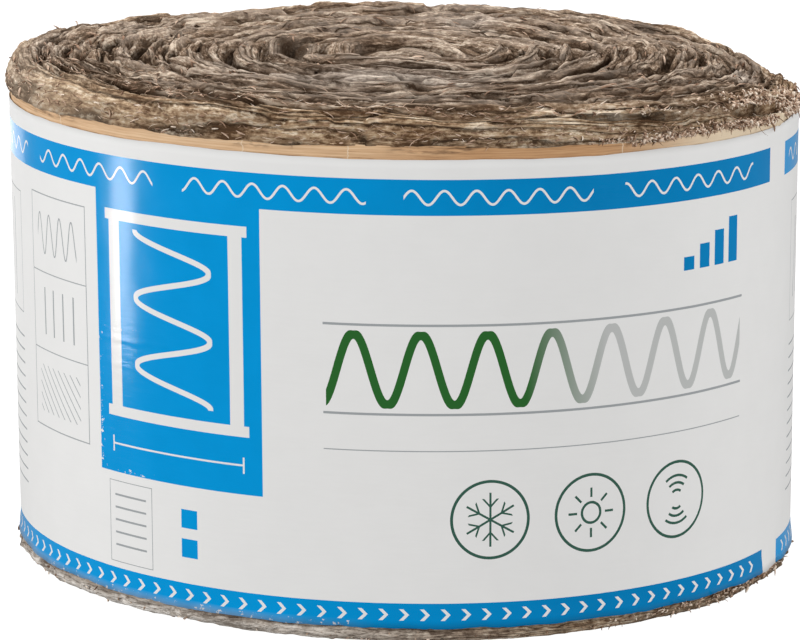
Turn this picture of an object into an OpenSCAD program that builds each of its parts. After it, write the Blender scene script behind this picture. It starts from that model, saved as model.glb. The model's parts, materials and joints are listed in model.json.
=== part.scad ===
// Roll of kraft-faced glass wool insulation, standing on its end in a printed wrapper.
// Millimetres, +Z up, origin on the floor under the middle of the roll.
// The wool is wound as a spiral, so each half turn is an arc about one of two centres
// that lie half a turn's thickness apart.

/* [Roll] */
// Outside diameter of the wrapped roll
roll_d = 610; // [480:1:760]
// Height of the standing roll, which is the width of the batt
batt_w = 389; // [300:1:620]
// Diameter of the eye that the winding spindle leaves
eye_d = 34; // [24:1:80]
// Number of turns in the roll
turns = 12; // [8:1:16]

/* [Wool ends] */
// Height of each turn's rounded crest above the groove beside it
crest_h = 6; // [3:0.5:6]
// Depth by which the roll's own weight flattens the crests it stands on
foot_flat = 2; // [1:0.25:2.5]
// Radius of the shoulder that the outer turn rounds over at the top
shoulder_r = 26; // [16:1:40]
// Radius of the edge that the outer turn rolls under at the foot
foot_r = 10; // [6:1:20]
// Width and depth of the flare at each mouth of the eye
eye_flare = 9; // [8:0.5:14]

/* [Kraft facing] */
// Thickness of the asphalt-bonded kraft paper
facing_t = 0.4; // [0.3:0.05:1]
// Height of the facing that shows above the wrapper
facing_show = 10.5; // [4:0.5:30]
// Distance that the facing stops short of the wrapper's lower edge
facing_foot_in = 2; // [0:0.5:20]
// Length by which the facing's tail laps over its first turn
facing_lap = 90; // [40:5:300]
// Distance that the tail stops short of the facing's two edges
facing_lap_in = 1; // [0.5:0.25:6]
// Direction in which the facing's tail ends, from +X
facing_tail_deg = -24; // [-180:1:180]

/* [Wrapper] */
// Thickness of the printed wrapper
wrap_t = 0.4; // [0.3:0.05:1]
// Height of the wrapper's lower edge above the floor
wrap_foot = 12; // [11:0.5:40]
// Width of the glued lap seam
wrap_lap = 75; // [30:5:200]
// Distance that the lap's outer end stops short of the wrapper's two edges
wrap_lap_in = 1.5; // [0.5:0.25:6]
// Direction of the middle of the lap seam, from +X
wrap_seam_deg = 90; // [-180:1:180]

/* [Fit] */
// Slack between one layer and the next
layer_gap = 0.3; // [0.1:0.05:1]

/* [Hidden] */
$fn = 96;
overlap = 1;

// The layers, from the outside in: wrapper, facing with its lap, wool
wrap_out_r = roll_d / 2;
wrap_in_r = wrap_out_r - wrap_t;
facing_lap_r = wrap_in_r - layer_gap;
facing_out_r = facing_lap_r - facing_t;
facing_in_r = facing_out_r - facing_t;
wool_r = facing_in_r - layer_gap;
eye_r = eye_d / 2;

// One turn of the compressed batt, and the arc of its crest
turn_t = (wool_r - eye_r) / turns;
crest_r = (turn_t * turn_t / 4 + crest_h * crest_h) / (2 * crest_h);

// Heights of the layers' edges
facing_foot = wrap_foot + facing_foot_in;
facing_top = batt_w - shoulder_r;
wrap_top = facing_top - facing_show;

function arc_deg(length, radius) = length / radius * 180 / PI;

// Section of the wound turns, trimmed at the axis: a core with a row of crests at each end
module turns_section(first_r, count) {
    out_r = first_r + (count - 1) * turn_t;
    core_z = crest_h + overlap;
    intersection() {
        translate([0, -foot_flat]) square([out_r, batt_w + foot_flat]);
        union() {
            translate([0, core_z - foot_flat])
                square([out_r, batt_w + foot_flat - 2 * core_z]);
            for (k = [0 : count - 1])
                translate([first_r + k * turn_t, 0]) {
                    translate([0, crest_r - foot_flat]) circle(crest_r);
                    translate([0, batt_w - crest_r]) circle(crest_r);
                }
        }
    }
}

// Half of every turn, swept about the axis that the section is drawn on
module half_turns(first_r, count) {
    rotate_extrude(angle = 180) turns_section(first_r, count);
}

// The two halves of the spiral meet on the plane y = 0. Each runs past the eye and the
// outside, where it is trimmed.
module wound_turns() {
    half_turns(eye_r + turn_t / 2, turns + 1);
    translate([turn_t / 2, 0, 0]) rotate([0, 0, 180]) half_turns(eye_r, turns + 2);
}

// Outside of the wool: a flat foot with a rolled edge, and a rounded shoulder
module wool_envelope() {
    rotate_extrude() {
        square([wool_r - shoulder_r, batt_w]);
        translate([0, foot_r]) square([wool_r, facing_top - foot_r]);
        square([wool_r - foot_r, foot_r + overlap]);
        translate([wool_r - foot_r, foot_r]) circle(foot_r);
        translate([wool_r - shoulder_r, facing_top]) circle(shoulder_r);
    }
}

// The eye runs right through and flares where the wool springs back at its mouths
module eye() {
    translate([0, 0, -overlap]) cylinder(r = eye_r, h = batt_w + 2 * overlap);
    translate([0, 0, batt_w - eye_flare])
        cylinder(r1 = eye_r, r2 = eye_r + eye_flare + overlap, h = eye_flare + overlap);
    translate([0, 0, -overlap])
        cylinder(r1 = eye_r + eye_flare + overlap, r2 = eye_r, h = eye_flare + overlap);
}

// A sheet bent round the roll, between two radii and two heights, through part of a turn
module bent_sheet(in_r, out_r, low_z, high_z, sweep) {
    rotate_extrude(angle = sweep) translate([in_r, low_z]) square([out_r - in_r, high_z - low_z]);
}

module wool_roll() {
    color("#8c7c6a") difference() {
        intersection() {
            wound_turns();
            wool_envelope();
        }
        eye();
    }
}

// The outer turn of the facing, with its tail lapped over the turn below
module kraft_facing() {
    lap_deg = arc_deg(facing_lap, facing_lap_r);
    color("#c8a57a") {
        bent_sheet(facing_in_r, facing_out_r, facing_foot, facing_top, 360);
        rotate([0, 0, facing_tail_deg - lap_deg])
            bent_sheet(facing_out_r - facing_t / 2, facing_lap_r,
                       facing_foot + facing_lap_in, facing_top - facing_lap_in, lap_deg);
    }
}

// One sheet wound round the roll, with its outer end glued down over its start
module wrapper() {
    lap_deg = arc_deg(wrap_lap, wrap_out_r);
    color("#eeede9") {
        bent_sheet(wrap_in_r, wrap_out_r, wrap_foot, wrap_top, 360);
        rotate([0, 0, wrap_seam_deg - lap_deg / 2])
            bent_sheet(wrap_out_r - wrap_t / 2, wrap_out_r + wrap_t,
                       wrap_foot + wrap_lap_in, wrap_top - wrap_lap_in, lap_deg);
    }
}

wool_roll();
kraft_facing();
wrapper();
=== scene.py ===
import json
import math
from types import SimpleNamespace

import bpy
import numpy as np
from mathutils import Matrix, Vector


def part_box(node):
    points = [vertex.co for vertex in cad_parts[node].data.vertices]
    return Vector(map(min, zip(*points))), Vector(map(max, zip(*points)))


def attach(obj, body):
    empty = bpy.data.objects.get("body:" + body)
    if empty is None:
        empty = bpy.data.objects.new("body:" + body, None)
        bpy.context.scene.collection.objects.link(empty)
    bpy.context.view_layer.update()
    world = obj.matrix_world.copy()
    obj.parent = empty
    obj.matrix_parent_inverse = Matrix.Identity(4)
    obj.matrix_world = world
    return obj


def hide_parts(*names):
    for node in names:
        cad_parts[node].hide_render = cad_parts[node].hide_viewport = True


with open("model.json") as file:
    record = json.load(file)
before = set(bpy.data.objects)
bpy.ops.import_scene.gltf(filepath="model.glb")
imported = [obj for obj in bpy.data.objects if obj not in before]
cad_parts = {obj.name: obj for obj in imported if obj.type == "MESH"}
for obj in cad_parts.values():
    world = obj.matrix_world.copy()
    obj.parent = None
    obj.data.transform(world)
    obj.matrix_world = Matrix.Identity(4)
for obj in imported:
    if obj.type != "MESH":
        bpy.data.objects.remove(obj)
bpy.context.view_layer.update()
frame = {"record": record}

# The view. A long lens looks down a little on the printed front of the standing roll, from about three
# metres away, and the picture leans slightly to the right.
camera_ahead = 3.05
camera_aside = -0.0036
camera_height = 0.808
camera_lens = 178.5
camera_sensor = 36
look_down = math.radians(11.72)
picture_lean = math.radians(0.88)

view_data = bpy.data.cameras.new("view")
view_data.lens = camera_lens
view_data.sensor_width = camera_sensor
view = bpy.data.objects.new("view", view_data)
bpy.context.scene.collection.objects.link(view)
view.matrix_world = (
    Matrix.Translation((camera_aside, -camera_ahead, camera_height))
    @ Matrix.Rotation(math.pi / 2 - look_down, 4, "X")
    @ Matrix.Rotation(picture_lean, 4, "Z")
)
bpy.context.scene.camera = view

# Wool batt. One long batt of brown-grey glass wool, bonded with resin, cut to width and wound up tight from
# the eye outwards. Its cut edges spring back as lumpy ridges made of thin matted layers, with dark slits
# between the turns. It is three meshes, finest in the outer turn, which shows best.
mm = 0.001
wool_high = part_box("wool_roll")[1]
wool_r = wool_high.x
wool_top = wool_high.z
eye_r = next(m for m in frame["record"]["mounts"] if m["name"] == "eye")["dims"]["r_mm"] * mm
turns = 12
turn_t = (wool_r - eye_r) / turns
shoulder_r = 26 * mm
foot_r = 10 * mm
foot_tuck = 16 * mm
slit_floor = wool_top - 34 * mm
crest_drop = 8 * mm
roll_lean = 7.2 * mm
foot_narrowing = 0.006
batt_start = -0.92 * math.pi
middle_start = 2 * math.pi * (turns - 4) - math.pi
outer_start = 2 * math.pi * (turns - 1) - math.pi
batt_end = (2 * turns - 0.06) * math.pi
coarse_top, coarse_foot = 17, 5
fine_top, fine_foot = 44, 13


def smooth(x):
    """Eases from 0 to 1 as x goes from 0 to 1."""
    x = np.clip(x, 0, 1)
    return x * x * (3 - 2 * x)


def past(length, start, over):
    """Eases from 0 to 1 where a length goes past a start and over a distance, both in millimetres."""
    return smooth((length - start * mm) / (over * mm))


def near_spot(x, y, at_x, at_y, reach_x, reach_y):
    """Fades from 1 in the middle of a spot on the end of the roll. Its place and reach are in millimetres."""
    return np.exp(-(((x - at_x * mm) / (reach_x * mm)) ** 2) - ((y - at_y * mm) / (reach_y * mm)) ** 2)


def grain(along, across, seed):
    """Soft random field from about -1 to 1, with one bump for each unit of its two coordinates."""
    rows, columns = 2048, 128
    direction = np.random.default_rng(seed).uniform(0, 2 * np.pi, (rows, columns))
    along, across = np.broadcast_arrays(along, across)
    i = np.floor(along).astype(int)
    j = np.floor(across).astype(int)
    x = along - i
    y = across - j
    total = np.zeros(x.shape)
    for di in (0, 1):
        for dj in (0, 1):
            slope = direction[(i + di) % rows, (j + dj) % columns]
            weight = smooth(1 - np.abs(x - di)) * smooth(1 - np.abs(y - dj))
            total += weight * (np.cos(slope) * (x - di) + np.sin(slope) * (y - dj))
    return 1.6 * total


def turn_radius(angle):
    """Distance from the axis to the middle of the batt where it has wound through an angle."""
    turn = np.floor(angle / (2 * np.pi))
    part = angle - 2 * np.pi * turn
    offset = turn_t / 2
    reach = eye_r + (turn + 1) * turn_t
    far = offset * np.cos(part) + np.sqrt(reach**2 - (offset * np.sin(part)) ** 2)
    return np.where(part < np.pi, eye_r + (turn + 0.5) * turn_t, far)


def wind(start, end, step):
    """Angles of evenly spaced stations along the batt, and their distance from the batt's beginning."""
    samples = 60000
    angle = np.linspace(batt_start, batt_end, samples)
    run = np.concatenate([[0], np.cumsum(np.diff(angle) * turn_radius(angle[1:]))])
    first, last = np.interp([start, end], angle, run)
    station = np.linspace(first, last, int((last - first) / step))
    return np.interp(station, run, angle), station


def sway(x, y):
    """How far the turns wander outwards at a place on the end of the roll."""
    inside = smooth((wool_r - np.hypot(x, y)) / (40 * mm))
    return inside * (5.5 * mm * grain(x / (120 * mm), y / (120 * mm), 11)
                     + 1.0 * mm * grain(x / (45 * mm), y / (45 * mm), 12))


def closed(x, y):
    """How far two turns left of the eye are matted together at a place, from 0 to 1."""
    return near_spot(x, y, -116, 6, 18, 30)


def squashed(x, y):
    """How far the layers behind the eye's left end are pressed together at a place, from 0 to 1."""
    return near_spot(x, y, -60, 32, 32, 28)


def slit(x, y):
    """Half the width of the slit between two turns at a place on the end of the roll."""
    open_wide = smooth(0.35 + grain(x / (58 * mm), y / (58 * mm), 13)) * (1 - 0.9 * closed(x, y))
    wide = mm * (0.3 + 3.2 * open_wide)
    pit = near_spot(x, y, -86, 14, 13, 20)
    eye_slit = near_spot(x, y, -20, -34, 50, 12)
    long_slit = near_spot(x, y, -8, -219, 90, 9)
    return wide + mm * (7 * pit + 2.5 * eye_slit + 3 * long_slit)


def sag(x, y):
    """How far the top of the roll lies below its full height at a place. It stands higher on the left."""
    back_right = past(x, 150, 150) * past(y, -60, 160)
    right_end = past(x, 225, 75)
    right_edge = past(x, 272, 28)
    right_corner = past(x, 262, 33) * past(y, -20, 80)
    left_end = past(-x, 230, 40)
    back_middle = np.exp(-(((x - 75 * mm) / (60 * mm)) ** 2)) * past(y, 150, 80)
    before_pit = near_spot(x, y, -80, -6, 22, 17)
    before_slit = near_spot(x, y, -8, -234, 90, 11)
    return (mm * (4 * back_right + 10 * right_end + 3 * right_edge + 7 * right_corner - 1.5 * left_end
                  - 2.5 * back_middle + 9 * before_pit + 3.5 * before_slit)
            + 2 * mm * grain(x / (140 * mm), y / (140 * mm), 14))


def matted(u, v, thickness, length, seed):
    """Thin layers seen edge on: the running number of the layer at a place, how high it stands, its round."""
    place = (v / thickness + 1.1 * grain(u / length, v / (3 * thickness) + 0.4, seed)
             + 0.45 * grain(u / (0.35 * length), v / (1.3 * thickness) + 0.4, seed + 1))
    number = np.floor(place)
    within = 2 * (place - number) - 1
    height = grain(u / (0.7 * length), 3.7 * number + 0.5, seed + 2)
    return place, height, (1 - np.abs(within) ** 3) ** 0.6


def batt_grid(start, end, step, top_points, foot_points):
    """Points of a length of the batt, one row for each station: over the top, down outside, back under, up.
    Beside them come the fields that place its fibres and layers for the wool's material."""
    angle, run = wind(start, end, step)
    middle = turn_radius(angle)
    inner = np.clip(middle - turn_t / 2, eye_r, wool_r)
    outer = np.clip(middle + turn_t / 2, eye_r, wool_r)
    width = outer - inner
    fullness = smooth(width / (0.7 * turn_t))[:, None]
    cos, sin = np.cos(angle)[:, None], np.sin(angle)[:, None]

    def edge(radius, side):
        """Radius of the batt's wall on one side, and the gap that the crest leaves beside it."""
        x, y = radius * np.cos(angle), radius * np.sin(angle)
        free = np.where(side > 0, radius < wool_r - 1 * mm, radius > eye_r + 1 * mm)
        gap = np.where(free, np.minimum(slit(x, y), 0.36 * width), 0.1 * mm)
        shift = sway(x, y) * smooth((radius - eye_r) / (40 * mm))
        return (radius + shift)[:, None], gap[:, None]

    def across(points):
        """Places across the batt from -1 to 1, a little closer together at its edges."""
        even = np.linspace(-1, 1, points)
        return (0.6 * even + 0.4 * np.sin(even * np.pi / 2))[None, :]

    def standing(radius, height):
        """Points at some radii and heights, in the direction of each station."""
        return np.stack([radius * cos, radius * sin, 0 * radius + height], -1)

    inner_wall, inner_gap = edge(inner, -1)
    outer_wall, outer_gap = edge(outer, 1)
    low, high = inner_wall + inner_gap, outer_wall - outer_gap

    # The top: layers seen edge on, a crest that drops into the slits, and a lip that spills over the shoulder
    t = across(top_points)
    u = run[:, None] / mm
    v = t * turn_t / 2 / mm
    radius = (low + high) / 2 + t * (high - low) / 2
    x, y = radius * cos, radius * sin
    layer, layer_height, layer_round = matted(u, v, thickness=6.2, length=170, seed=21)
    leaf, leaf_height, leaf_round = matted(u, v, thickness=2.6, length=60, seed=31)
    torn = smooth((grain(u / 38, v / 8, 29) - 0.2) / 0.25)
    relief = (3.6 * layer_height + 3.0 * (layer_round - 0.85) + 1.1 * leaf_height + 0.9 * (leaf_round - 0.85)
              + 2.0 * grain(u / 48, v / 15, 25) + 1.5 * grain(u / 20, v / 8, 26)
              + 0.8 * grain(u / 8, v / 4, 30) - 6 * torn)
    rise = 4.4 * grain(u / 150, 0.5, 27) + 2.4 * grain(u / 55, 0.5, 28)
    core = 1 - past(radius, 50, 90)
    relief = relief * (1 - 0.45 * core - 0.4 * squashed(x, y))
    rise = rise * (1 + 0.9 * core)
    beyond = np.clip((radius - (wool_r - shoulder_r)) / shoulder_r, 0, 1)
    shoulder = shoulder_r * (1 - (1 - np.minimum(beyond, 0.995) ** 2.4) ** (1 / 2.4))
    rough = fullness * (1 - 0.4 * beyond)
    lip = smooth((beyond - 0.72) / 0.28)
    spill = grain(u / 47, 0.5, 41) + 0.6 * grain(u / 17, 0.5, 42) + 0.3 * grain(u / 6, 0.5, 43)
    matting = 0.3 + 1.1 * smooth(0.5 + grain(x / (75 * mm), y / (75 * mm), 15))
    right_front = past(x, 40, 120) * past(-y, 0, 60)
    crest = (wool_top - 1.5 * mm - sag(x, y) * (1 - 0.85 * beyond**4) - shoulder
             - crest_drop * matting * np.abs(t) ** 2.4 * (1 - beyond) * (1 - 0.75 * closed(x, y))
             + rough * mm * (relief * (1 - 0.55 * beyond**2 - 0.3 * lip) + rise * (1 - beyond))
             + lip * mm * (-3.7 - 0.8 * right_front - 1.0 * spill))
    mouth = np.clip(1 - (radius - eye_r) / (10 * mm), 0, 1)
    crest -= 9 * mm * mouth**2
    tilt = 2.2 * grain(u / 50, v / 20, 44) + 1.4 * layer_height + 0.8 * grain(u / 15, v / 5, 45)
    left_side = past(-x, 200, 90)
    bulge = mm * beyond * (2.7 + 1.0 * spill + 2.3 * left_side) + rough * mm * relief * 0.6 * beyond
    radius = radius + rough * mm * tilt * (1 - 0.5 * beyond) + bulge
    top = standing(radius, crest)

    # The foot: pressed flat, rolled under at the outside, with lumps squeezed out below the wrapper
    t = -across(foot_points)
    v = t * turn_t / 2 / mm
    radius = (low + high) / 2 + t * (high - low) / 2
    beyond = np.clip((radius - (wool_r - foot_r)) / foot_r, 0, 1)
    rolled = foot_r * (1 - np.sqrt(1 - np.minimum(beyond, 0.98) ** 2))
    lumps = 1.4 * np.abs(grain(u / 30, v / 9, 51)) + 0.9 * np.abs(grain(u / 11, v / 6, 52))
    under = np.maximum(0, rolled + 5 * mm * np.abs(t) ** 4 * (1 - beyond) + fullness * mm * (lumps - 1.1))
    foot_layer, foot_height, foot_round = matted(u, v + under / mm, thickness=4.2, length=38, seed=55)
    squeezed = (2.2 + 2.8 * grain(u / 38, v / 9, 53) + 2.2 * grain(u / 12, v / 4, 54) + 1.3 * foot_height
                + 1.8 * (foot_round - 0.8))
    spread = 3.5 * past(-radius * cos, 150, 100) * past(-radius * sin, 30, 90)
    radius = radius + beyond * fullness * mm * (squeezed + spread)
    foot = standing(radius, under)

    # The walls between them, shut against the next turn
    shut = 0.25 * mm
    under_lip = np.maximum(crest[:, -1:] - 1.2 * mm, slit_floor + mm)
    outside = [standing(outer_wall - shut, height) for height in (under_lip, slit_floor, foot_tuck)]
    inside = [standing(inner_wall + shut, height) for height in (foot_tuck, slit_floor)]
    points = np.concatenate([top, *outside, foot, *inside], 1)

    strata = np.stack([layer, leaf, 0 * layer], -1)
    strata = np.concatenate([strata, np.repeat(strata[:, -1:], points.shape[1] - top_points, 1)], 1)
    strata[:, top_points + len(outside):-len(inside), 0] = foot_layer
    from_axis = np.hypot(points[..., 0], points[..., 1])
    lie = np.stack(np.broadcast_arrays(run[:, None], from_axis, points[..., 2]), -1)
    return points, {"lie": lie, "strata": strata}


def hollows(grids):
    """How deep each point lies in the wool around it: 0 on a crest, 1 in a slit, a little under the roll. The
    wool's material paints shade by it. Beside that, how far it stands out above the wool around it, from 0
    to 1, which the material paints as a highlight."""
    cell = 3 * mm
    count = int(2.2 * wool_r / cell)
    roof = np.full((count, count), wool_top - 1.5 * shoulder_r)
    cells = []
    for points in grids:
        place = (points[..., :2] + 1.1 * wool_r) / cell
        i, j = np.moveaxis(np.clip(place.astype(int), 0, count - 2), -1, 0)
        np.maximum.at(roof, (i, j), points[..., 2])
        cells.append((i, j, place[..., 0] - i, place[..., 1] - j))
    for reach in (2, 2, 1):
        for axis in (0, 1):
            roof = np.mean([np.roll(roof, shift, axis) for shift in range(-reach, reach + 1)], 0)
    shades = []
    for points, (i, j, a, b) in zip(grids, cells):
        x, y, height = np.moveaxis(points, -1, 0)
        over = ((1 - a) * (1 - b) * roof[i, j] + a * (1 - b) * roof[i + 1, j]
                + (1 - a) * b * roof[i, j + 1] + a * b * roof[i + 1, j + 1])
        # Painted shade: darker where a point lies below the wool around it, darkest in the pit left of the
        # eye and on the slits' walls, lighter where two turns are matted and at the rim.
        deep = 0.96 * smooth((over - height + 1.2 * mm) / (5 * mm))
        rim = smooth((np.hypot(x, y) - (wool_r - 22 * mm)) / (10 * mm))
        pit = ((x + 86 * mm) / (17 * mm)) ** 2 + ((y - 20 * mm) / (18 * mm)) ** 2
        deep = np.maximum(deep * (1 - 0.7 * closed(x, y)), np.exp(-(pit**2)))
        deep = np.where(height > slit_floor + mm, deep * (1 - 0.85 * rim), 0.85)
        deep = np.where(height < foot_tuck - mm, 0.1, deep)
        # Painted highlight: paler where a point stands above the wool around it, away from the rim.
        tip = smooth((height - over - 0.3 * mm) / (3.5 * mm)) * (1 - rim)
        shades.append((deep, tip))
    return shades


def wool_tones(points, deep):
    """The fields that tone the wool: its rim, painted light on the foot and pale patches on top, how much
    painted shade its creases take, its fuzz, and the painted shade of how dark it lies.
    """
    x, y, height = np.moveaxis(points, -1, 0)
    on_top = height > foot_tuck
    at_foot = height < foot_tuck
    rim = smooth((np.hypot(x, y) - (wool_r - 24 * mm)) / (24 * mm))
    # Painted light: the foot is painted paler towards the left, where the light falls on it. The top is paler
    # at its left end and in three patches.
    painted_foot_light = 0.05 + 0.9 * past(-x, -150, 330)
    pale_top = 0.16 * past(-x, 245, 55)
    for patch in ((-30, -140, 85, 42), (54, 180, 26, 30), (254, -68, 14, 26)):
        pale_top = np.maximum(pale_top, 0.3 * near_spot(x, y, *patch))
    bleach = np.where(at_foot, painted_foot_light, pale_top)
    turned = np.degrees(np.arctan2(x, -y))
    # Painted shade among the crumbs on the slope at the right of the rim.
    crumbly = smooth((turned - 22) / 20) * smooth((100 - turned) / 14) * rim * on_top
    # Painted shade: the foot is darker towards the right, away from the light.
    painted_foot_shade = past(x, 110, 110) * at_foot
    pressed = squashed(x, y)
    deep = np.maximum(deep, 0.3 * crumbly + 0.5 * painted_foot_shade)
    deep = np.maximum(deep, 0.45 * pressed * on_top)
    fuzzy = 0.28 * past(-x, 170, 90) * rim * on_top
    creased = 1 - 0.6 * bleach - 0.75 * pressed
    return {"rim": rim, "bleach": bleach, "creased": creased, "fuzzy": fuzzy, "deep": deep}


def loop_faces(stations, around):
    """Quads that join each ring of points to the next, and a face that closes each end."""
    i = np.arange(stations - 1)[:, None] * around
    j = np.arange(around)[None, :]
    k = (j + 1) % around
    quads = np.stack([i + j, i + k, i + around + k, i + around + j], -1).reshape(-1, 4)
    last = (stations - 1) * around
    return quads.tolist() + [list(range(around))[::-1], list(range(last, last + around))]


def settled(points):
    """Points of the roll as it stands: it leans a little to the left and narrows towards its foot."""
    height = np.clip(points[..., 2] / wool_top, 0, 1)
    narrow = 1 - foot_narrowing * smooth(1 - height)
    x = narrow * points[..., 0] - roll_lean * (height - 0.5)
    return np.stack([x, narrow * points[..., 1], points[..., 2]], -1)


def make_piece(name, points, faces, **fields):
    """A smooth mesh object on the roll, with a number or a vector stored at each point for its material."""
    mesh = bpy.data.meshes.new(name)
    mesh.from_pydata(settled(points).reshape(-1, 3).tolist(), [], faces)
    for field, values in fields.items():
        if values.ndim == points.ndim:
            mesh.attributes.new(field, "FLOAT_VECTOR", "POINT").data.foreach_set("vector", values.ravel())
        else:
            mesh.attributes.new(field, "FLOAT", "POINT").data.foreach_set("value", values.ravel())
    mesh.shade_smooth()
    mesh.update()
    piece = bpy.data.objects.new(name, mesh)
    bpy.context.scene.collection.objects.link(piece)
    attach(piece, "root")
    return piece


def shader(name, roughness, **fixed):
    """A material with one Principled shader, its fixed sockets set, and a short way to add nodes to it."""
    material = bpy.data.materials.new(name)
    material.use_nodes = True
    tree = material.node_tree
    base = tree.nodes["Principled BSDF"]
    base.inputs["Roughness"].default_value = roughness
    for socket, value in fixed.items():
        base.inputs[socket.replace("_", " ")].default_value = value

    def add(kind, inputs=None, **settings):
        node = tree.nodes.new("ShaderNode" + kind)
        for setting, value in settings.items():
            setattr(node, setting, value)
        for socket, value in (inputs or {}).items():
            if isinstance(value, bpy.types.NodeSocket):
                tree.links.new(value, node.inputs[socket])
            else:
                node.inputs[socket].default_value = value
        return node

    def calc(operation, a, b=0.0, c=0.0, clamp=False):
        return add("Math", {0: a, 1: b, 2: c}, operation=operation, use_clamp=clamp).outputs[0]

    def times(a, b, clamp=False):
        return calc("MULTIPLY", a, b, clamp=clamp)

    def minus(a, b):
        return calc("SUBTRACT", a, b)

    def scaled(value, factor, offset, clamp=False):
        return calc("MULTIPLY_ADD", value, factor, offset, clamp)

    def noise(vector, stretch, detail=3.0, coarseness=0.55):
        placed = add("Mapping", {"Vector": vector, "Scale": stretch}).outputs[0]
        return add("TexNoise", {"Vector": placed, "Scale": 1.0, "Detail": detail,
                                "Roughness": coarseness}).outputs["Fac"]

    def mix(factor, a, b, blend="MIX"):
        return add("Mix", {0: factor, 6: a, 7: b}, data_type="RGBA", blend_type=blend).outputs[2]

    def ramp(factor, *stops):
        node = add("ValToRGB", {0: factor})
        elements = node.color_ramp.elements
        while len(elements) < len(stops):
            elements.new(0.5)
        for element, (place, colour) in zip(elements, stops):
            element.position = place
            element.color = (*colour, 1)
        return node.outputs[0]

    def bump(height, strength, distance, below=None):
        inputs = {"Height": height, "Strength": strength, "Distance": distance}
        if below:
            inputs["Normal"] = below
        return add("Bump", inputs).outputs[0]

    def field(stored, vector=False):
        node = add("Attribute", attribute_name=stored)
        return node.outputs["Vector" if vector else "Fac"]

    def wire(socket, value):
        tree.links.new(value, base.inputs[socket])

    return material, SimpleNamespace(add=add, calc=calc, times=times, minus=minus, scaled=scaled, noise=noise,
                                     mix=mix, ramp=ramp, bump=bump, field=field, wire=wire)


def wool_material():
    """Matted glass wool: fibres along the batt, a tone for each layer, painted shade in its creases and
    slits, painted highlights on its crests, painted light and pale patches, a tan rim.
    """
    material, nodes = shader("glass_wool", 0.95, Specular_IOR_Level=0.0)
    calc, times, scaled = nodes.calc, nodes.times, nodes.scaled
    mix, field = nodes.mix, nodes.field
    resin = (0.46, 0.31, 0.17, 1)
    painted_crest_highlight = (0.62, 0.525, 0.435, 1)
    fuzz = (0.40, 0.315, 0.235, 1)
    painted_slit_shade = (0.046, 0.028, 0.017, 1)
    lie = field("lie", vector=True)
    along = nodes.add("SeparateXYZ", {0: lie}).outputs[0]
    strata = nodes.add("SeparateXYZ", {0: field("strata", vector=True)})

    def crease(place, sharpness):
        """Painted shade: a dark line between one layer and the next."""
        within = calc("ABSOLUTE", scaled(calc("FRACT", place), 2.0, -1.0))
        return calc("POWER", within, sharpness)

    def own_tone(place, length):
        """A tone that stays with one layer and changes slowly along it."""
        number = times(calc("FLOOR", place), 7.3)
        spot = nodes.add("CombineXYZ", {0: calc("DIVIDE", along, length), 1: number}).outputs[0]
        return nodes.add("TexNoise", {"Vector": spot, "Scale": 1.0, "Detail": 2.0}).outputs["Fac"]

    fibre = nodes.noise(lie, (80, 480, 420), 4, 0.65)
    fleck = nodes.noise(lie, (220, 330, 300), 3, 0.65)
    lump = nodes.noise(lie, (30, 90, 80), 3)
    patch = nodes.noise(lie, (7, 10, 10), 2)
    layer = scaled(fleck, 0.35, strata.outputs[0])
    leaf = scaled(fleck, 0.6, strata.outputs[1])
    tone = scaled(fibre, 0.3, times(lump, 0.18))
    tone = scaled(fleck, 0.2, tone)
    tone = scaled(own_tone(layer, 0.09), 0.24, tone)
    tone = scaled(own_tone(leaf, 0.03), 0.08, tone)
    colour = nodes.ramp(tone, (0.44, (0.075, 0.050, 0.035)), (0.485, (0.208, 0.150, 0.109)),
                        (0.52, (0.320, 0.242, 0.182)), (0.57, (0.67, 0.565, 0.465)))
    colour = mix(times(patch, 0.5), colour, resin, "SOFT_LIGHT")
    tan = nodes.ramp(tone, (0.44, (0.13, 0.070, 0.036)), (0.485, (0.37, 0.242, 0.144)),
                     (0.52, (0.57, 0.410, 0.262)), (0.57, (0.90, 0.75, 0.57)))
    rim = times(field("rim"), scaled(patch, 2.0, -0.1), clamp=True)
    colour = mix(rim, colour, tan)
    # Painted light on the foot, and the pale patches on the top.
    lit_and_pale_wool = nodes.ramp(tone, (0.44, (0.36, 0.315, 0.270)), (0.48, (0.70, 0.640, 0.575)),
                          (0.54, (0.96, 0.91, 0.85)))
    colour = mix(field("bleach"), colour, lit_and_pale_wool)
    # Painted highlight on the crests.
    colour = mix(times(field("tip"), 0.3), colour, painted_crest_highlight)
    # Painted shade in the creases between layers, less where the wool is paled or pressed.
    leaf_folds = times(crease(leaf, 4.0), 0.45)
    folds = scaled(crease(layer, 4.0), 0.92, leaf_folds, clamp=True)
    folds = times(folds, field("creased"))
    colour = mix(folds, colour, painted_slit_shade)
    colour = mix(field("fuzzy"), colour, fuzz)
    # Painted shade where the wool lies deep in a hollow or slit, broken up by flecks.
    deep = times(field("deep"), scaled(fleck, 2.2, 0.0, clamp=True))
    nodes.wire("Base Color", mix(deep, colour, painted_slit_shade))
    lumpy = nodes.bump(fleck, 0.7, 0.003, nodes.bump(lump, 0.4, 0.005))
    nodes.wire("Normal", nodes.bump(scaled(folds, -0.5, fibre), 0.5, 0.0018, lumpy))
    return material


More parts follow.
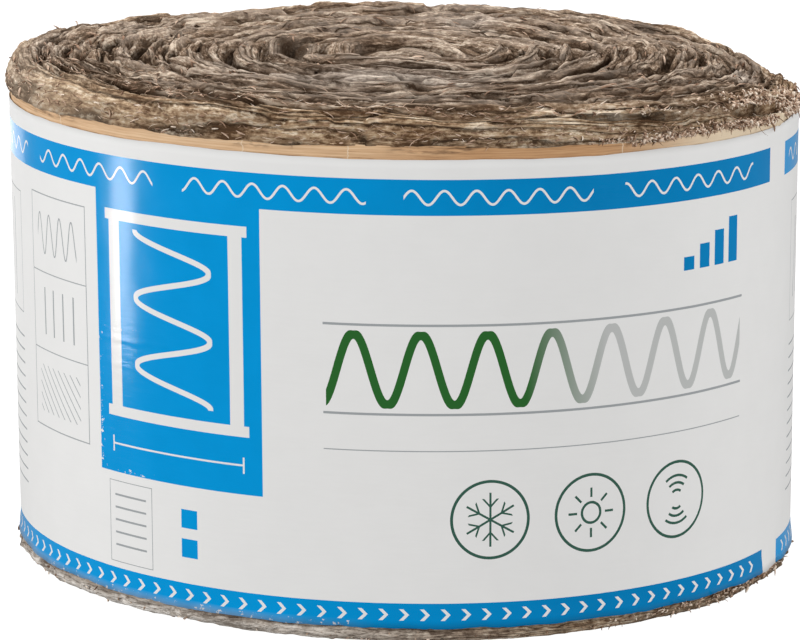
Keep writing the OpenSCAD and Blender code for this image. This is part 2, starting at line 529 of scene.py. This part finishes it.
wool = wool_material()
lengths = {
    "wool_inner_turns": batt_grid(batt_start, middle_start, 2.4 * mm, coarse_top, coarse_foot),
    "wool_middle_turns": batt_grid(middle_start, outer_start, 2.2 * mm, coarse_top, coarse_foot),
    "wool_outer_turn": batt_grid(outer_start, batt_end, 1.7 * mm, fine_top, fine_foot),
}
wool_grids = [points for points, layers in lengths.values()]
for (name, (points, layers)), (deep, tip) in zip(lengths.items(), hollows(wool_grids)):
    tones = wool_tones(points, deep)
    piece = make_piece(name, points, loop_faces(*points.shape[:2]), tip=tip, **tones, **layers)
    piece.data.materials.append(wool)
    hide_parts("wool_roll")

# Crown flakes. Torn flakes of the same glass wool that lie along the ridges of the crown, where the batt was
# cut. Each is a thin tapered ribbon, bent down a little and held by its root.
flake_counts = (700, 1300, 1200)
draw = np.random.default_rng(91)
up = np.array([0.0, 0.0, 1.0])


def unit(vectors):
    """Vectors scaled to a length of one."""
    return vectors / np.linalg.norm(vectors, axis=-1, keepdims=True)


def pick(points, rows, columns):
    """Points of a grid, and there the directions along the batt and straight out from the axis."""
    start = points[rows, columns]
    along = unit(points[rows + 1, columns] - start)
    out = unit(start * (1, 1, 0))
    return start, along, out


def curl(start, heading, bend, length, turn, stations):
    """Spines that set off from their starts in a heading and curl over towards a bend through a turn."""
    bend = unit(bend - np.sum(bend * heading, -1, keepdims=True) * heading)
    angle = turn[:, None] * np.linspace(0, 1, stations)[None, :]
    step = np.cos(angle)[..., None] * heading[:, None] + np.sin(angle)[..., None] * bend[:, None]
    step[:, 0] = 0
    spine = start[:, None] + np.cumsum(step, 1) * (length / (stations - 1))[:, None, None]
    return spine, np.cross(heading, bend)


def ribbons(name, start, heading, stations, length, bend, turn, half_width, half_thickness, tint):
    """Many thin tapered ribbons in one piece, each curled along its own spine and with its own tint."""
    spine, side = curl(start, heading, bend, length, turn, stations)
    ahead = unit(np.gradient(spine, axis=1))
    side = unit(side[:, None] - np.sum(side[:, None] * ahead, -1, keepdims=True) * ahead)
    face = np.cross(ahead, side)
    taper = np.sin(np.pi * np.linspace(0.1, 0.92, stations))[None, :, None]
    across = side * taper * half_width[:, None, None]
    through = face * taper * half_thickness[:, None, None]
    corners = np.stack([spine + across, spine + through, spine - across, spine - through], 2)
    corners[..., 2] = np.maximum(corners[..., 2], 0.2 * mm)
    ring = 4 * np.arange(len(start) * stations).reshape(-1, stations, 1)
    j = np.arange(4)
    k = (j + 1) % 4
    near, far = ring[:, :-1], ring[:, 1:]
    quads = np.stack([near + j, near + k, far + k, far + j], -1).reshape(-1, 4)
    caps = np.concatenate([ring[:, 0] + j[::-1], ring[:, -1] + j])
    tints = np.broadcast_to(tint[:, None, None], corners.shape[:3])
    return make_piece(name, corners, quads.tolist() + caps.tolist(), tint=np.ascontiguousarray(tints))


def loose_material():
    """The same glass wool, pulled loose: each ribbon from brown through tan to cream, finely mottled."""
    material, nodes = shader("loose_wool", 0.9, Specular_IOR_Level=0.08)
    mottle = nodes.noise(nodes.add("TexCoord").outputs["Object"], (500, 500, 500), 3)
    tone = nodes.scaled(mottle, 0.5, nodes.calc("ADD", nodes.field("tint"), -0.25))
    colour = nodes.ramp(tone, (0.05, (0.12, 0.064, 0.038)), (0.35, (0.35, 0.222, 0.150)),
                        (0.62, (0.64, 0.465, 0.345)), (0.9, (0.94, 0.81, 0.68)))
    nodes.wire("Base Color", colour)
    nodes.wire("Normal", nodes.bump(mottle, 0.4, 0.0006))
    return material


loose = loose_material()
flake_spots = []
for grid, top_points, count in zip(wool_grids, (coarse_top, coarse_top, fine_top), flake_counts):
    flake_rows = draw.integers(0, len(grid) - 1, count)
    flake_spots.append(pick(grid, flake_rows, draw.integers(2, top_points - 2, count)))
flake_start, flake_along, flake_out = (np.concatenate(spots) for spots in zip(*flake_spots))
flakes = sum(flake_counts)
flake_heading = unit(flake_along * draw.choice((-1, 1), (flakes, 1))
                     + flake_out * draw.uniform(-0.5, 0.4, (flakes, 1))
                     + up * draw.uniform(0.0, 0.35, (flakes, 1)))
crown_flakes = ribbons("crown_flakes", flake_start - 0.3 * mm * up, flake_heading, stations=5,
                       length=mm * draw.uniform(4, 14, flakes),
                       bend=-up + 0.3 * draw.normal(size=(flakes, 3)),
                       turn=draw.uniform(0.4, 1.5, flakes),
                       half_width=mm * draw.uniform(0.4, 1.5, flakes),
                       half_thickness=mm * draw.uniform(0.15, 0.35, flakes),
                       tint=0.7 * draw.beta(2, 2.2, flakes))
crown_flakes.data.materials.append(loose)

# Rim curls. Crumbs and curls of glass wool that were torn up where the outer turn thins out, at the right of
# the rim. They crowd on its slope and stand out at its edge, with a few long wisps among them.
curls = 2300
edge_columns = (fine_top - 5, fine_top)
slope_columns = (fine_top - 20, fine_top - 2)
wisp_columns = fine_top - 8
front = -math.pi / 2


def from_front(angle):
    """Degrees round from the front of the roll, to the right, of an angle about its axis."""
    return np.degrees(np.angle(np.exp(1j * (angle - front))))


def pick_rows(share, count):
    """Stations along a grid, drawn with a share for each."""
    return draw.choice(len(share) - 1, count, p=share[:-1] / share[:-1].sum())


outer_grid = wool_grids[2]
rim_edge = outer_grid[:, fine_top - 1]
rim_degrees = from_front(np.arctan2(rim_edge[:, 1], rim_edge[:, 0]))
at_right = smooth((rim_degrees - 22) / 20) * smooth((88 - rim_degrees) / 14)
at_rim = smooth((np.hypot(rim_edge[:, 0], rim_edge[:, 1]) - (wool_r - 3 * mm)) / (4 * mm))
curl_rows = pick_rows(0.01 + 1.8 * at_right * np.maximum(at_rim, smooth((rim_degrees - 46) / 12)), curls)
curl_degrees = rim_degrees[curl_rows]
chance = draw.random(curls)
at_edge = (chance < 0.4) | ((chance < 0.75) & (curl_degrees < 47))
curl_columns = np.where(at_edge, draw.integers(*edge_columns, curls), draw.integers(*slope_columns, curls))
curl_start, curl_along, curl_out = pick(outer_grid, curl_rows, curl_columns)
curl_heading = unit(curl_out * draw.uniform(-0.1, 0.5, (curls, 1))
                    + curl_along * draw.normal(0, 0.8, (curls, 1))
                    + up * (draw.normal(0.1, 0.35, (curls, 1)) + 0.35 * at_edge[:, None]))
wisp = (draw.random(curls) < 0.05) & (curl_degrees < 70) & (curl_columns < wisp_columns)
droop = np.where(at_edge, 0.0, 0.6)[:, None]
rim_curls = ribbons("rim_curls", curl_start - 0.6 * mm * curl_out, curl_heading, stations=6,
                    length=mm * np.where(wisp, draw.uniform(8, 16, curls), draw.gamma(5, 0.62, curls)),
                    bend=draw.normal(size=(curls, 3)) - droop * up,
                    turn=draw.uniform(1.0, 3.2, curls),
                    half_width=mm * np.where(wisp, 0.3, draw.uniform(0.6, 1.4, curls)),
                    half_thickness=mm * np.where(wisp, 0.2, draw.uniform(0.3, 0.7, curls)),
                    tint=draw.beta(1.6, 1.25, curls))
rim_curls.data.materials.append(loose)

# Lip fringe. Short fibres of glass wool along the lip of the outer turn, all round the front. They lie close
# to the wool where it spills over the edge of the paper.
fringes = 2000
fringe_columns = (fine_top - 14, fine_top - 1)
fringe_reach = 84

fringe_rows = draw.choice(np.flatnonzero(np.abs(rim_degrees[:-1]) < fringe_reach), fringes)
fringe_spots = pick(outer_grid, fringe_rows, draw.integers(*fringe_columns, fringes))
fringe_start, fringe_along, fringe_out = fringe_spots
fringe_heading = unit(fringe_along * draw.choice((-1, 1), (fringes, 1))
                      + fringe_out * draw.uniform(-0.1, 0.15, (fringes, 1))
                      + up * draw.normal(0.0, 0.12, (fringes, 1)))
lip_fringe = ribbons("lip_fringe", fringe_start - 0.3 * mm * fringe_out, fringe_heading, stations=5,
                     length=mm * draw.uniform(3, 9, fringes),
                     bend=draw.normal(size=(fringes, 3)) - 0.2 * up - 0.4 * fringe_out,
                     turn=draw.uniform(0.2, 1.0, fringes),
                     half_width=mm * draw.uniform(0.2, 0.7, fringes),
                     half_thickness=mm * draw.uniform(0.12, 0.3, fringes),
                     tint=draw.beta(2.4, 2.4, fringes))
lip_fringe.data.materials.append(loose)

# Foot tufts. Tufts of glass wool that the roll's weight squeezes out all round below the wrapper. They are
# thickest at the right, where the outer turn is torn, and stand up there.
tufts = 800
foot_columns = (fine_top + 3, fine_top + 8)

torn_foot = at_right * (rim_degrees < 74)
tuft_rows = pick_rows(0.2 + 1.5 * torn_foot, tufts)
tuft_start, tuft_along, tuft_out = pick(outer_grid, tuft_rows, draw.integers(*foot_columns, tufts))
tuft_torn = torn_foot[tuft_rows][:, None]
tuft_heading = unit(tuft_out * (draw.uniform(-0.08, 0.04, (tufts, 1)) + 0.5 * tuft_torn)
                    + tuft_along * draw.choice((-1, 1), (tufts, 1))
                    + up * (draw.normal(0.05, 0.1, (tufts, 1)) + 1.3 * tuft_torn))
foot_tufts = ribbons("foot_tufts", tuft_start - 0.4 * mm * tuft_out, tuft_heading, stations=6,
                     length=mm * np.minimum(draw.gamma(4, 1.2, tufts), 9),
                     bend=draw.normal(size=(tufts, 3)) - 0.5 * tuft_out,
                     turn=draw.uniform(0.6, 2.8, tufts),
                     half_width=mm * draw.uniform(0.6, 1.6, tufts),
                     half_thickness=mm * draw.uniform(0.2, 0.5, tufts),
                     tint=draw.beta(2.0, 1.5, tufts))
foot_tufts.data.materials.append(loose)

# Kraft facing. Brown kraft paper, bonded to one side of the batt with asphalt. Only its outer turn shows, as
# a narrow band above the wrapper with wool spilling over its edge, and its tail laps over the turn below.
facing_low, facing_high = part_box("kraft_facing")
facing_t = 0.4 * mm
facing_mid_r = wool_r + 0.5 * mm
facing_tail = math.radians(-24)
facing_lap = 90 * mm / facing_mid_r
tail_lift = 6 * mm
tail_shade = 4 * mm
hidden_top = 346 * mm
shown_foot = 350 * mm


def bent_sheet(name, angle, height, radius, thickness, **fields):
    """A closed sheet bent round the axis, from its middle radius and its heights at each station and row."""
    skins = []
    for side in (thickness / 2, -thickness / 2):
        out = radius + side
        skins.append(np.stack([out * np.cos(angle), out * np.sin(angle), height], -1))
    stations, rows = radius.shape
    loop = np.concatenate([skins[0], skins[1][:, ::-1]], 1)
    looped = {}
    for field, values in fields.items():
        looped[field] = np.concatenate([values, values[:, ::-1]], 1)
    i = np.arange(stations - 1)[:, None] * 2 * rows
    j = np.arange(2 * rows)[None, :]
    k = (j + 1) % (2 * rows)
    quads = np.stack([i + j, i + 2 * rows + j, i + 2 * rows + k, i + k], -1).reshape(-1, 4)
    ends = []
    for first, turned in ((0, False), ((stations - 1) * 2 * rows, True)):
        for row in range(rows - 1):
            face = [first + row, first + row + 1, first + 2 * rows - 2 - row, first + 2 * rows - 1 - row]
            ends.append(face[::-1] if turned else face)
    return make_piece(name, loop, quads.tolist() + ends, **looped)


facing_turn = np.linspace(0, 2 * math.pi + facing_lap, 800)[:, None]
facing_angle = facing_tail - facing_lap + facing_turn
facing_run = (facing_angle - front - 2 * math.pi) * facing_mid_r / mm
hidden_rows = np.linspace(facing_low.z, hidden_top, 7)
shown_rows = np.linspace(shown_foot, facing_high.z, 10)
facing_height = np.concatenate([hidden_rows, shown_rows])[None, :]
shown = past(facing_height, shown_foot / mm, 8)
lapped = smooth((facing_turn - 2 * math.pi + 0.06) / 0.06)
to_tail = (facing_turn[-1] - facing_turn) * facing_mid_r
buckle = 0.45 * grain(facing_run / 60, 0.5, 61) + 0.3 * grain(facing_run / 21, facing_height / (6 * mm), 62)
facing_radius = (facing_mid_r + 0.55 * mm * lapped + mm * buckle * shown
                 + tail_lift * smooth(1 - to_tail / (11 * mm)) ** 2 * shown)
edge_wave = 0.9 * grain(facing_run / 85, 0.5, 63) + 0.45 * grain(facing_run / 12, 0.5, 64)
facing_height = facing_height + mm * edge_wave * shown
facing_flat = np.stack(np.broadcast_arrays(facing_run * mm, facing_height, 0 * facing_height), -1)
facing_degrees = from_front(facing_angle)
# Painted light: the paper is paler towards the left and the right of the front, and greyer towards the right,
# as the light falls.
facing_pale = 0.75 - 0.6 * smooth((facing_degrees + 12) / 26) + 0.65 * smooth((facing_degrees - 32) / 20)
facing_grey = 0.8 * smooth((facing_degrees - 26) / 26)
past_tail = (facing_turn - facing_lap) * facing_mid_r
# Painted shade under the wool's lip along the top of the paper, a painted shadow past the tail, and a painted
# shadow line along the wrapper's top edge.
stained = past(facing_height, 355.5, 4) * smooth((grain(facing_run / 42, 0.5, 65) + 0.05) / 0.3)
stained = np.maximum(stained, 1.6 * (past_tail > 0) * (past_tail < tail_shade) * shown)
stained = np.maximum(stained, 0.6 * smooth(1 - (facing_height - 352.5 * mm) / (1.8 * mm)))
kraft_facing_sheet = bent_sheet("kraft_facing_sheet", facing_angle, facing_height, facing_radius, facing_t,
                                flat=facing_flat, stained=stained, pale=facing_pale + 0 * facing_height,
                                greyed=facing_grey + 0 * facing_height)
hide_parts("kraft_facing")


def kraft_material():
    """Plain brown kraft paper with long level fibres, thin brown lines and a few pale upright creases, with
    painted light on its sides and painted shade under the wool and along the wrapper's edge.
    """
    material, nodes = shader("kraft_paper", 0.8, Specular_IOR_Level=0.2)
    calc, times, scaled = nodes.calc, nodes.times, nodes.scaled
    mix, noise = nodes.mix, nodes.noise
    dull = (0.58, 0.40, 0.26, 1)
    painted_light_grey = (0.75, 0.64, 0.48, 1)
    line_brown = (0.21, 0.115, 0.055, 1)
    painted_shade_brown = (0.13, 0.072, 0.036, 1)
    crease_pale = (0.76, 0.62, 0.45, 1)
    crease_degrees = (-56, -22, -7.4, 31, 118, -140)
    flat = nodes.field("flat", vector=True)
    fibre = noise(flat, (30, 900, 1), 4, 0.6)
    band = noise(flat, (4, 420, 1), 3)
    patch = noise(flat, (16, 30, 1), 2)
    tone = calc("ADD", times(fibre, 0.5), times(band, 0.5))
    brown = nodes.ramp(tone, (0.36, (0.20, 0.092, 0.036)), (0.44, (0.45, 0.230, 0.098)),
                       (0.55, (0.54, 0.292, 0.132)), (0.66, (0.66, 0.40, 0.21)))
    # Painted light on the sides of the band.
    painted_light_kraft = nodes.ramp(tone, (0.36, (0.36, 0.195, 0.088)), (0.44, (0.67, 0.445, 0.262)),
                       (0.55, (0.79, 0.56, 0.350)), (0.66, (0.87, 0.68, 0.46)))
    colour = mix(nodes.field("pale"), brown, painted_light_kraft)
    colour = mix(times(patch, 0.12), colour, dull)
    # Painted light, greyer towards the right.
    colour = mix(nodes.field("greyed"), colour, painted_light_grey)
    lines = scaled(noise(flat, (9, 330, 1), 2), 9.0, -5.6, clamp=True)
    colour = mix(times(lines, 0.75), colour, line_brown)
    streak = scaled(noise(flat, (60, 420, 1), 3, 0.65), 5.0, -2.3, clamp=True)
    # Painted shade, in streaks.
    colour = mix(times(nodes.field("stained"), streak), colour, painted_shade_brown)
    bent = noise(flat, (9, 260, 1), 2)
    run = scaled(bent, 0.006, nodes.add("SeparateXYZ", {0: flat}).outputs[0])
    creases = 0.0
    for degrees in crease_degrees:
        place = math.radians(degrees) * facing_mid_r + 3 * mm
        creases = calc("ADD", creases, calc("COMPARE", run, place, 0.45 * mm))
    colour = mix(times(creases, 0.7), colour, crease_pale)
    nodes.wire("Base Color", colour)
    nodes.wire("Normal", nodes.bump(fibre, 0.3, 0.0006, nodes.bump(band, 0.35, 0.0012)))
    return material


kraft_facing_sheet.data.materials.append(kraft_material())

# Wrapper. White film printed in blue, wound once round the roll and glued down along a lap at the back. It is
# a little slack, so it dents and catches the light, and its cut lower edge is ragged.
wrap_low, wrap_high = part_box("wrapper")
wrap_t = 0.4 * mm
wrap_mid_r = wrap_high.x - wrap_t / 2
wrap_lap = 75 * mm / wrap_mid_r
wrap_seam = math.pi / 2

wrap_turn = np.linspace(0, 2 * math.pi + wrap_lap, 600)[:, None]
wrap_angle = wrap_seam - wrap_lap / 2 + wrap_turn
wrap_rows = np.linspace(0, 1, 44)[None, :]
wrap_height = wrap_low.z + (wrap_high.z - wrap_low.z) * (0.75 * wrap_rows + 0.25 * smooth(wrap_rows))
wrap_run = (wrap_angle - front - 2 * math.pi) * wrap_mid_r
run_mm, height_mm = wrap_run / mm, wrap_height / mm
dents = (smooth(0.45 + 0.9 * grain(run_mm / 140, height_mm / 210, 71))
         + 0.3 * smooth(0.4 + grain(run_mm / 50, height_mm / 120, 72))
         + 0.1 * smooth(0.4 + grain(run_mm / 22, height_mm / 30, 73)))
foot_edge = smooth(1 - (wrap_height - wrap_low.z) / (16 * mm))
top_edge = smooth(1 - (wrap_high.z - wrap_height) / (14 * mm))
foot_flare = foot_edge * smooth(0.5 + grain(run_mm / 34, 0.5, 74)) * 1.6
top_flare = top_edge * smooth(0.4 + grain(run_mm / 70, 0.5, 75)) * 0.7
glued_over = smooth((wrap_turn - 2 * math.pi + 0.03) / 0.03)
wrap_radius = (wrap_mid_r + 0.5 * mm * glued_over
               + mm * (0.6 * dents * (1 - glued_over) + foot_flare + top_flare))
ragged = (0.8 * grain(run_mm / 19, 0.5, 76) + 0.8 * np.maximum(0, grain(run_mm / 4.5, 0.5, 77))
          + 0.5 * grain(run_mm / 60, 0.5, 78))
wavy = 1.1 + 0.8 * grain(run_mm / 90, 0.5, 79) + 0.35 * grain(run_mm / 18, 0.5, 80)
wrap_degrees = from_front(wrap_angle)
ridden_up = 3.5 * smooth((wrap_degrees - 62) / 20) * smooth((112 - wrap_degrees) / 22)
wrap_height = wrap_height + mm * (ragged * foot_edge**3 + wavy * top_edge**2 + ridden_up * top_edge)
wrap_flat = np.stack(np.broadcast_arrays(wrap_run, wrap_height, 0 * wrap_height), -1)
wrapper_film = bent_sheet("wrapper_film", wrap_angle, wrap_height, wrap_radius, wrap_t, flat=wrap_flat)
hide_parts("wrapper")


def film_material():
    """White satin film with a print in blue, green and grey. The print repeats twice round the roll.
    The places and sizes of the print are in millimetres, round from the front and up from the floor."""
    material, nodes = shader("printed_film", 0.5, Specular_IOR_Level=0.08)
    calc, times, minus, scaled = nodes.calc, nodes.times, nodes.minus, nodes.scaled
    mix, noise, ramp = nodes.mix, nodes.noise, nodes.ramp
    sign_green = (0.035, 0.105, 0.075, 1)
    line_grey = (0.34, 0.36, 0.37, 1)
    repeat = math.pi * wrap_mid_r / mm
    print_end = 335
    next_start = 369
    section_left, section_right = -58, 292
    flat = nodes.field("flat", vector=True)
    place = nodes.add("SeparateXYZ", {0: flat})
    x = calc("WRAP", calc("DIVIDE", place.outputs[0], mm), next_start, next_start - repeat)
    y = calc("DIVIDE", place.outputs[1], mm)

    def within(value, low, high):
        return calc("COMPARE", value, (low + high) / 2, (high - low) / 2)

    def all_of(first, *others):
        for other in others:
            first = times(first, other)
        return first

    def any_of(first, *others):
        for other in others:
            first = calc("MAXIMUM", first, other)
        return first

    def box(left, right, low, high):
        return all_of(within(x, left, right), within(y, low, high))

    def outline(left, right, low, high, line):
        hollow = box(left + line, right - line, low + line, high - line)
        return minus(box(left, right, low, high), hollow)

    def stripes(value, pitch, share):
        return calc("LESS_THAN", calc("FRACT", calc("DIVIDE", value, pitch)), share)

    def wave(run, rise, middle, reach, pitch, line):
        """A line of even width that waves up and down about a middle, as batts are drawn in a section."""
        turn = times(run, 2 * math.pi / pitch)
        off = minus(rise, scaled(calc("SINE", turn), reach, middle))
        slope = times(calc("COSINE", turn), reach * 2 * math.pi / pitch)
        width = calc("SQRT", scaled(slope, slope, 1.0))
        return calc("COMPARE", off, 0.0, times(width, line / 2))

    def around(centre, spokes):
        """Distance out from a centre, and how far along and beside the nearest of some spokes a place is."""
        dx = minus(x, centre[0])
        dy = minus(y, centre[1])
        out = calc("SQRT", scaled(dx, dx, times(dy, dy)))
        spread = math.pi / spokes
        turn = calc("ABSOLUTE", calc("WRAP", calc("ARCTAN2", dx, dy), spread, -spread))
        ahead = times(out, calc("COSINE", turn))
        beside = times(out, calc("SINE", turn))
        return out, ahead, beside

    # Blue: the two bands, the panel, four rising bars and two squares
    bands = any_of(within(y, 8, 30.5), within(y, 313.5, 339.2))
    bands = all_of(bands, within(x, next_start - repeat, print_end))
    panel = box(-252, -104, 103.5, 314)
    bars = [box(left, left + 11, 262, 272 + 8 * step) for step, left in enumerate((222, 239, 256, 273))]
    squares = [box(-172, -158, low, low + 14) for low in (72, 50)]
    blue = any_of(bands, panel, *bars, *squares)

    # Left white: a wave and arrows along the bands, and a batt between two studs on the panel
    band_wave = all_of(wave(x, y, 326.3, 5.0, 23, 1.7), stripes(x, 166, 0.84), within(x, -575, 322))
    bend = calc("ABSOLUTE", minus(y, 22.0))
    arrows = all_of(stripes(calc("ADD", x, bend), 15, 0.2), within(y, 17.8, 26.2), within(x, -575, 322))
    studs = any_of(box(-238, -227, 146, 300), box(-129, -118, 146, 300), box(-242, -114, 292, 300),
                   box(-242, -114, 146, 154))
    batt = all_of(wave(y, x, -178, 33, 50, 4.2), within(y, 162.5, 287.5))
    width_mark = any_of(box(-238, -118, 124.4, 125.8), box(-238, -236.6, 119, 131),
                        box(-119.4, -118, 119, 131))
    white = any_of(band_wave, arrows, studs, batt, width_mark)

    # A section through a batt, whose wave fades from green to grey, with a rule below
    section_lines = any_of(box(section_left, section_right, 233.5, 235.3),
                           box(section_left, section_right, 168.7, 170.5))
    section_wave = all_of(wave(x, y, 202, 25, 48, 6.2), within(x, section_left + 2, section_right - 2))
    rule = box(section_left, section_right, 142.5, 143.3)

    # Three round signs: a snowflake, a sun and sound that spreads to both sides
    rings = []
    for centre, spokes in (((62, 92), 6), ((140, 92), 8), ((218, 92), 2)):
        out, ahead, beside = around(centre, spokes)
        rings.append(within(out, 27.2, 29.4))
        if spokes == 6:
            side = minus(beside, scaled(ahead, 0.9, -8.5))
            rings.append(all_of(within(side, -0.9, 0.9), within(ahead, 9, 15.5)))
            rings.append(all_of(within(beside, -0.8, 0.8), within(ahead, 0, 20)))
        elif spokes == 8:
            rings.append(within(out, 6.6, 8.6))
            rings.append(all_of(within(beside, -0.9, 0.9), within(ahead, 11.5, 18.5)))
        else:
            reach = calc("DIVIDE", minus(out, 6.0), 5.5)
            echo = calc("LESS_THAN", calc("FRACT", reach), 0.36)
            narrow = calc("LESS_THAN", beside, times(ahead, 0.75))
            rings.append(all_of(echo, narrow, within(out, 6, 20)))

    # Grey: plain boxes of waves and stripes beside the panel and further round
    leaflet = [outline(-352, -266, 118, 297, 0.9), box(-352, -266, 177.5, 178.3), box(-352, -266, 237, 237.8),
               all_of(wave(x, y, 267, 15, 17, 1.2), within(x, -340, -278)),
               all_of(stripes(x, 15, 0.12), box(-341, -277, 190, 226)),
               all_of(stripes(calc("ADD", x, y), 9, 0.14), box(-341, -277, 130, 166))]
    label = [outline(-243, -199, 35, 97, 0.6), all_of(stripes(y, 9.5, 0.16), box(-237, -205, 43, 90))]
    guide = [outline(left, left + 80, 196, 290, 0.8) for left in (-560, -464)]
    guide += [all_of(wave(x, y, 243, 30, 20, 1.3), box(-548, -492, 205, 281)),
              all_of(stripes(x, 18, 0.1), box(-452, -396, 205, 281)),
              all_of(stripes(y, 10.4, 0.13), any_of(box(-560, -480, 60, 184), box(-464, -384, 60, 184)))]
    grey = any_of(rule, section_lines, *leaflet, *label, *guide)

    # The inks. The blue is painted lighter at the left, where more light falls, and darker towards the right;
    # it is rubbed and worn away in places
    uneven = noise(flat, (40, 40, 1), 2)
    lit_blue_ink = ramp(uneven, (0.3, (0.0, 0.292, 0.672)), (0.7, (0.0, 0.306, 0.702)))
    shaded_blue_ink = ramp(uneven, (0.3, (0.0, 0.204, 0.486)), (0.7, (0.0, 0.216, 0.511)))
    painted_shade_rightwards = scaled(x, 0.0042, 0.45, clamp=True)
    blue_ink = mix(painted_shade_rightwards, lit_blue_ink, shaded_blue_ink)
    paper = ramp(uneven, (0.3, (0.790, 0.786, 0.776)), (0.7, (0.804, 0.800, 0.790)))
    along = calc("DIVIDE", minus(x, section_left), section_right - section_left)
    fading = ramp(along, (0.42, (0.022, 0.125, 0.024)), (0.60, (0.50, 0.51, 0.50)))
    rubbed = any_of(box(-253, -247.5, 110, 215), box(-246, -196, 103, 107.5), box(-250, -205, 208, 213),
                    box(-330, -40, 8, 16.5))
    scratches = scaled(noise(flat, (210, 260, 1), 3, 0.7), 14.0, -8.3, clamp=True)
    scuff = all_of(rubbed, scratches)
    worn = all_of(scaled(x, -0.009, -0.2, clamp=True), within(x, -470, 0),
                  scaled(y, -0.1, 1.85, clamp=True), 0.7, uneven)
    blue = minus(blue, times(blue, calc("MAXIMUM", scuff, worn)))
    colour = mix(blue, paper, blue_ink)
    colour = mix(white, colour, paper)
    colour = mix(grey, colour, line_grey)
    colour = mix(any_of(*rings), colour, sign_green)
    colour = mix(section_wave, colour, fading)
    nodes.wire("Base Color", colour)
    satin = scaled(uneven, 0.1, 0.5)
    nodes.wire("Roughness", scaled(blue, -0.38, satin))

    # The slack film: broad dents, fine crinkles and one level fold across the panel
    slack = noise(flat, (14, 8, 1), 1)
    crinkle = noise(flat, (45, 230, 1), 3)
    fold = scaled(noise(flat, (40, 1, 1), 2), 9.0, 199.0)
    fold = calc("DIVIDE", minus(y, fold), 2.6)
    fold = calc("EXPONENT", times(times(fold, fold), -1.0))
    fold = all_of(fold, within(x, -256, -176))
    height = scaled(fold, 0.9, crinkle)
    nodes.wire("Normal", nodes.bump(height, 0.07, 0.0022, nodes.bump(slack, 0.1, 0.01)))
    return material


wrapper_film.data.materials.append(film_material())

# Floor and light. A plain white floor. Two large soft lights stand far out at the left and the right of the
# front, a third hangs overhead and a little behind, and two weak strips at the left only gleam on the film.
floor_reach = 30
floor_corners = [(floor_reach * x, floor_reach * y, 0) for x, y in ((-1, -1), (1, -1), (1, 1), (-1, 1))]
floor_mesh = bpy.data.meshes.new("floor")
floor_mesh.from_pydata(floor_corners, [], [(0, 1, 2, 3)])
floor = bpy.data.objects.new("floor", floor_mesh)
bpy.context.scene.collection.objects.link(floor)
floor_white, floor_nodes = shader("pale_floor", 0.8, Emission_Color=(1, 1, 1, 1), Emission_Strength=1.0)
speck = floor_nodes.noise(floor_nodes.add("TexCoord").outputs["Object"], (9, 9, 9))
floor_nodes.wire("Base Color", floor_nodes.ramp(speck, (0.3, (0.16, 0.16, 0.16)), (0.7, (0.18, 0.18, 0.18))))
floor.data.materials.append(floor_white)
floor.visible_diffuse = False
floor.visible_glossy = False


def soft_light(name, place, aim, size, power):
    """A rectangular soft light at a place, turned to face a point."""
    data = bpy.data.lights.new(name, "AREA")
    data.shape = "RECTANGLE"
    data.size, data.size_y = size
    data.energy = power
    light = bpy.data.objects.new(name, data)
    bpy.context.scene.collection.objects.link(light)
    facing = (Vector(aim) - Vector(place)).to_track_quat("-Z", "Y")
    light.matrix_world = Matrix.Translation(place) @ facing.to_matrix().to_4x4()
    return light


roll_middle = (0, 0, wool_top / 2)
soft_light("key", (-2.92, -1.82, 1.0), roll_middle, (1.8, 1.4), 76)
soft_light("fill", (3.04, -1.9, 0.9), roll_middle, (1.8, 1.4), 65)
soft_light("overhead", (-0.2, 1.1, 2.8), roll_middle, (1.8, 1.8), 88)
left_strip = soft_light("left_strip", (-1.01, -0.245, 0.14), roll_middle, (0.13, 0.26), 4)
back_strip = soft_light("back_strip", (-0.86, 1.29, 0.1), (-0.3, 0, 0.2), (0.7, 0.6), 2)
for strip in (left_strip, back_strip):
    strip.visible_diffuse = False
    strip.visible_camera = False
world = bpy.data.worlds.new("surround")
bpy.context.scene.world = world
world.use_nodes = True
surround = world.node_tree.nodes["Background"]
surround.inputs["Color"].default_value = (1, 1, 1, 1)
surround.inputs["Strength"].default_value = 0.36
bpy.context.scene.view_settings.view_transform = "Standard"
